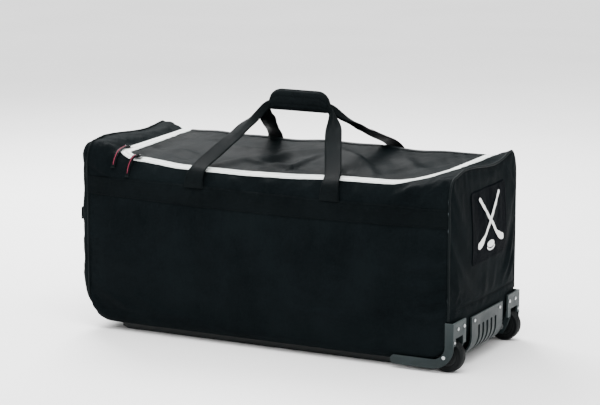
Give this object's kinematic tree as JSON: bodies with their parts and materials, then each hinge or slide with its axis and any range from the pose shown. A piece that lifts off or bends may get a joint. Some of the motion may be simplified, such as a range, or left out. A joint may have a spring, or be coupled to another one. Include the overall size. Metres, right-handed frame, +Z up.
{
  "type": "wheeled hockey equipment bag",
  "caption": "Long soft-sided wheeled hockey bag with a zipped top lid, wrapped carry straps, end grab handle, sewn bands, skid rails and moulded wheel housings.",
  "frame": {"origin": "on the floor under the centre of the bag's bounding box", "axes": "+X along the bag towards the wheels, -Y the front face with the zip's long run, +Z up"},
  "size_m": [0.952, 0.3766, 0.562],
  "materials": {
    "board": "matte",
    "fabric": "coated woven, satin",
    "metal": "satin",
    "moulding": "fine texture",
    "rubber": "matte",
    "tape": "woven zip tape",
    "webbing": "woven webbing"
  },
  "bodies": {
    "bag_body": {"front_panel": "fabric", "rear_panel": "fabric", "bottom_panel": "fabric", "front_yoke": "fabric", "rear_yoke": "fabric", "left_yoke": "fabric", "right_yoke": "fabric", "left_end_panel": "fabric", "right_end_panel": "fabric", "left_piping": "webbing", "right_piping": "webbing", "front_band": "webbing", "rear_band": "webbing", "base_board": "board", "zip_tape_frame": "tape", "left_grab_tab_front": "webbing", "left_grab_tab_rear": "webbing", "front_wheel_housing": "moulding", "front_axle": "metal", "front_housing_rivet_outer": "metal", "front_housing_rivet_inner": "metal", "front_housing_screw": "metal", "front_skid_rail": "moulding", "rear_wheel_housing": "moulding", "rear_axle": "metal", "rear_housing_rivet_outer": "metal", "rear_housing_rivet_inner": "metal", "rear_housing_screw": "metal", "rear_skid_rail": "moulding", "kick_plate": "moulding", "kick_plate_screw_front": "metal", "kick_plate_screw_rear": "metal"},
    "lid": {"lid_panel": "fabric", "zip_tape_lid": "tape"},
    "front_slider": {"slider_front": "metal"},
    "front_puller": {"puller_front": "webbing"},
    "left_slider": {"slider_left": "metal"},
    "left_puller": {"puller_left": "webbing"},
    "front_handle": {"front_carry_strap": "webbing", "grip_front_half": "webbing"},
    "rear_handle": {"rear_carry_strap": "webbing", "grip_rear_half": "webbing"},
    "grab_handle": {"left_grab_handle": "webbing"},
    "front_wheel": {"front_wheel_tyre": "rubber", "front_wheel_hub": "moulding"},
    "rear_wheel": {"rear_wheel_tyre": "rubber", "rear_wheel_hub": "moulding"}
  },
  "joints": [
    {"name": "lid_open", "type": "hinge", "parent": "bag_body", "child": "lid", "pos_m": [0, 0.15, 0.42], "axis": [-1, 0, 0], "range_deg": [0, 64]},
    {"name": "front_handle_drop", "type": "hinge", "parent": "bag_body", "child": "front_handle", "pos_m": [0, -0.1871, 0.35174], "axis": [1, 0, 0], "range_deg": [0, 160]},
    {"name": "rear_handle_drop", "type": "hinge", "parent": "bag_body", "child": "rear_handle", "pos_m": [0, 0.1871, 0.35174], "axis": [-1, 0, 0], "range_deg": [0, 160]},
    {"name": "front_slider_slide", "type": "slide", "parent": "bag_body", "child": "front_slider", "axis": [1, 0, 0], "range_m": [0, 0.62], "deforming": ["front_carry_strap"]},
    {"name": "front_puller_swing", "type": "hinge", "parent": "front_slider", "child": "front_puller", "pos_m": [-0.333, -0.152, 0.4078], "axis": [-1, 0, 0], "range_deg": [0, 180]},
    {"name": "left_slider_slide", "type": "slide", "parent": "bag_body", "child": "left_slider", "axis": [0, 0.9994, 0.0335], "range_m": [0, 0.24]},
    {"name": "left_puller_swing", "type": "hinge", "parent": "left_slider", "child": "left_puller", "pos_m": [-0.384, -0.111, 0.41804], "axis": [-1, 0, 0], "range_deg": [0, 180]},
    {"name": "grab_handle_swing", "type": "hinge", "parent": "bag_body", "child": "grab_handle", "pos_m": [-0.4608, 0, 0.264], "axis": [0, 1, 0], "range_deg": [-20, 20]},
    {"name": "front_wheel_spin", "type": "hinge", "parent": "bag_body", "child": "front_wheel", "pos_m": [0.44, -0.1565, 0.036], "axis": [0, 1, 0], "continuous": true},
    {"name": "rear_wheel_spin", "type": "hinge", "parent": "bag_body", "child": "rear_wheel", "pos_m": [0.44, 0.1565, 0.036], "axis": [0, 1, 0], "continuous": true}
  ],
  "couplings": [
    {"joint": "front_handle_drop", "follows": "lid_open", "ratio": 2.5},
    {"joint": "rear_handle_drop", "follows": "lid_open", "ratio": 2.5},
    {"joint": "left_puller_swing", "follows": "left_slider_slide", "rad_per_m": 13.08}
  ]
}
